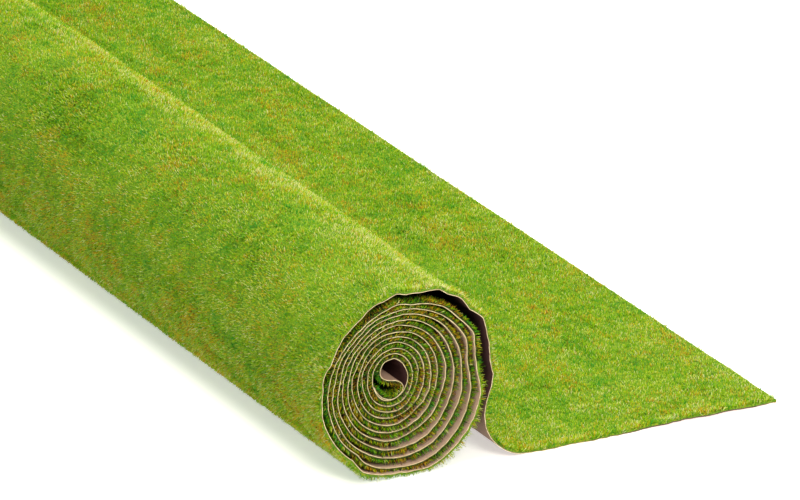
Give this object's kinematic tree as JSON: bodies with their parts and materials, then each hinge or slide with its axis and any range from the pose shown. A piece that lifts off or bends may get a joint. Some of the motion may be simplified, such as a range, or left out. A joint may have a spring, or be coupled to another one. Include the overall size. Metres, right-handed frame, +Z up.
{
  "type": "rolled grass mat",
  "caption": "Rolled landscape mat of short green fibre pile on kraft paper, wound pile outward, with its free end lying flat beside the roll.",
  "frame": {"origin": "on the ground, under the middle of the mat's box", "axes": "+Y along the roll, +Z up, +X from the roll towards the flat free end"},
  "size_m": [0.1446, 0.6074, 0.056],
  "materials": {
    "kraft_paper": "pinkish brown kraft paper, matte",
    "adhesive": "dull olive adhesive coat",
    "grass_pile": "short upright fibres, lime green with darker, yellow and brown ones"
  },
  "bodies": {
    "roll": {"paper_roll": "kraft_paper", "adhesive_roll": "adhesive", "pile_roll": "grass_pile"},
    "flap_1": {"paper_flap_1": "kraft_paper", "adhesive_flap_1": "adhesive", "pile_flap_1": "grass_pile"},
    "flap_2": {"paper_flap_2": "kraft_paper", "adhesive_flap_2": "adhesive", "pile_flap_2": "grass_pile"},
    "flap_3": {"paper_flap_3": "kraft_paper", "adhesive_flap_3": "adhesive", "pile_flap_3": "grass_pile"}
  },
  "joints": [
    {"name": "flap_lift_1", "type": "hinge", "parent": "roll", "child": "flap_1", "pos_m": [-0.00521, 0, 0.00013], "axis": [0, -1, 0], "range_deg": [0, 30]},
    {"name": "flap_lift_2", "type": "hinge", "parent": "flap_1", "child": "flap_2", "pos_m": [0.02061, 0, 0.00013], "axis": [0, -1, 0], "range_deg": [0, 30]},
    {"name": "flap_lift_3", "type": "hinge", "parent": "flap_2", "child": "flap_3", "pos_m": [0.04643, 0, 0.00013], "axis": [0, -1, 0], "range_deg": [0, 30]}
  ]
}
